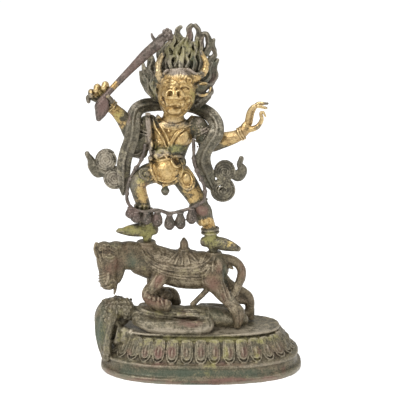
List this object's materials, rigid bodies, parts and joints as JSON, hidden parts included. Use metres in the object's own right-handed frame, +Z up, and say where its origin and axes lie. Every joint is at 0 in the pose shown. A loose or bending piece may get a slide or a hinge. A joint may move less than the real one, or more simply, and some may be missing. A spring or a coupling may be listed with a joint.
{
  "type": "statuette",
  "caption": "Parcel-gilt bronze statuette of a bull-headed deity that dances with a raised club on a bull, over a lying figure, on an oval lotus plinth.",
  "frame": {"origin": "middle of the plinth's underside", "axes": "+Z up, the front towards -Y, the bull's head towards -X"},
  "size_m": [0.2175, 0.124, 0.3481],
  "materials": {
    "plinth_bronze": "old cast bronze with green-brown patina, yellowish rubbed spots and a reddish lip",
    "bull_bronze": "old cast bronze with olive-brown patina and coppery worn high points",
    "gilt_bronze": "worn gilding over bronze, with dark patina in the hollows and on the upper arms",
    "dark_bronze": "dark olive-grey bronze patina with faint green spots",
    "red_bronze": "brown bronze patina with coppery worn edges"
  },
  "bodies": {
    "root": {"lotus_plinth": "plinth_bronze", "bull": "bull_bronze", "yamantaka_figure": "gilt_bronze", "flaming_hair": "dark_bronze", "celestial_scarf": "dark_bronze", "garland_of_heads": "red_bronze", "club": "red_bronze"}
  },
  "joints": []
}
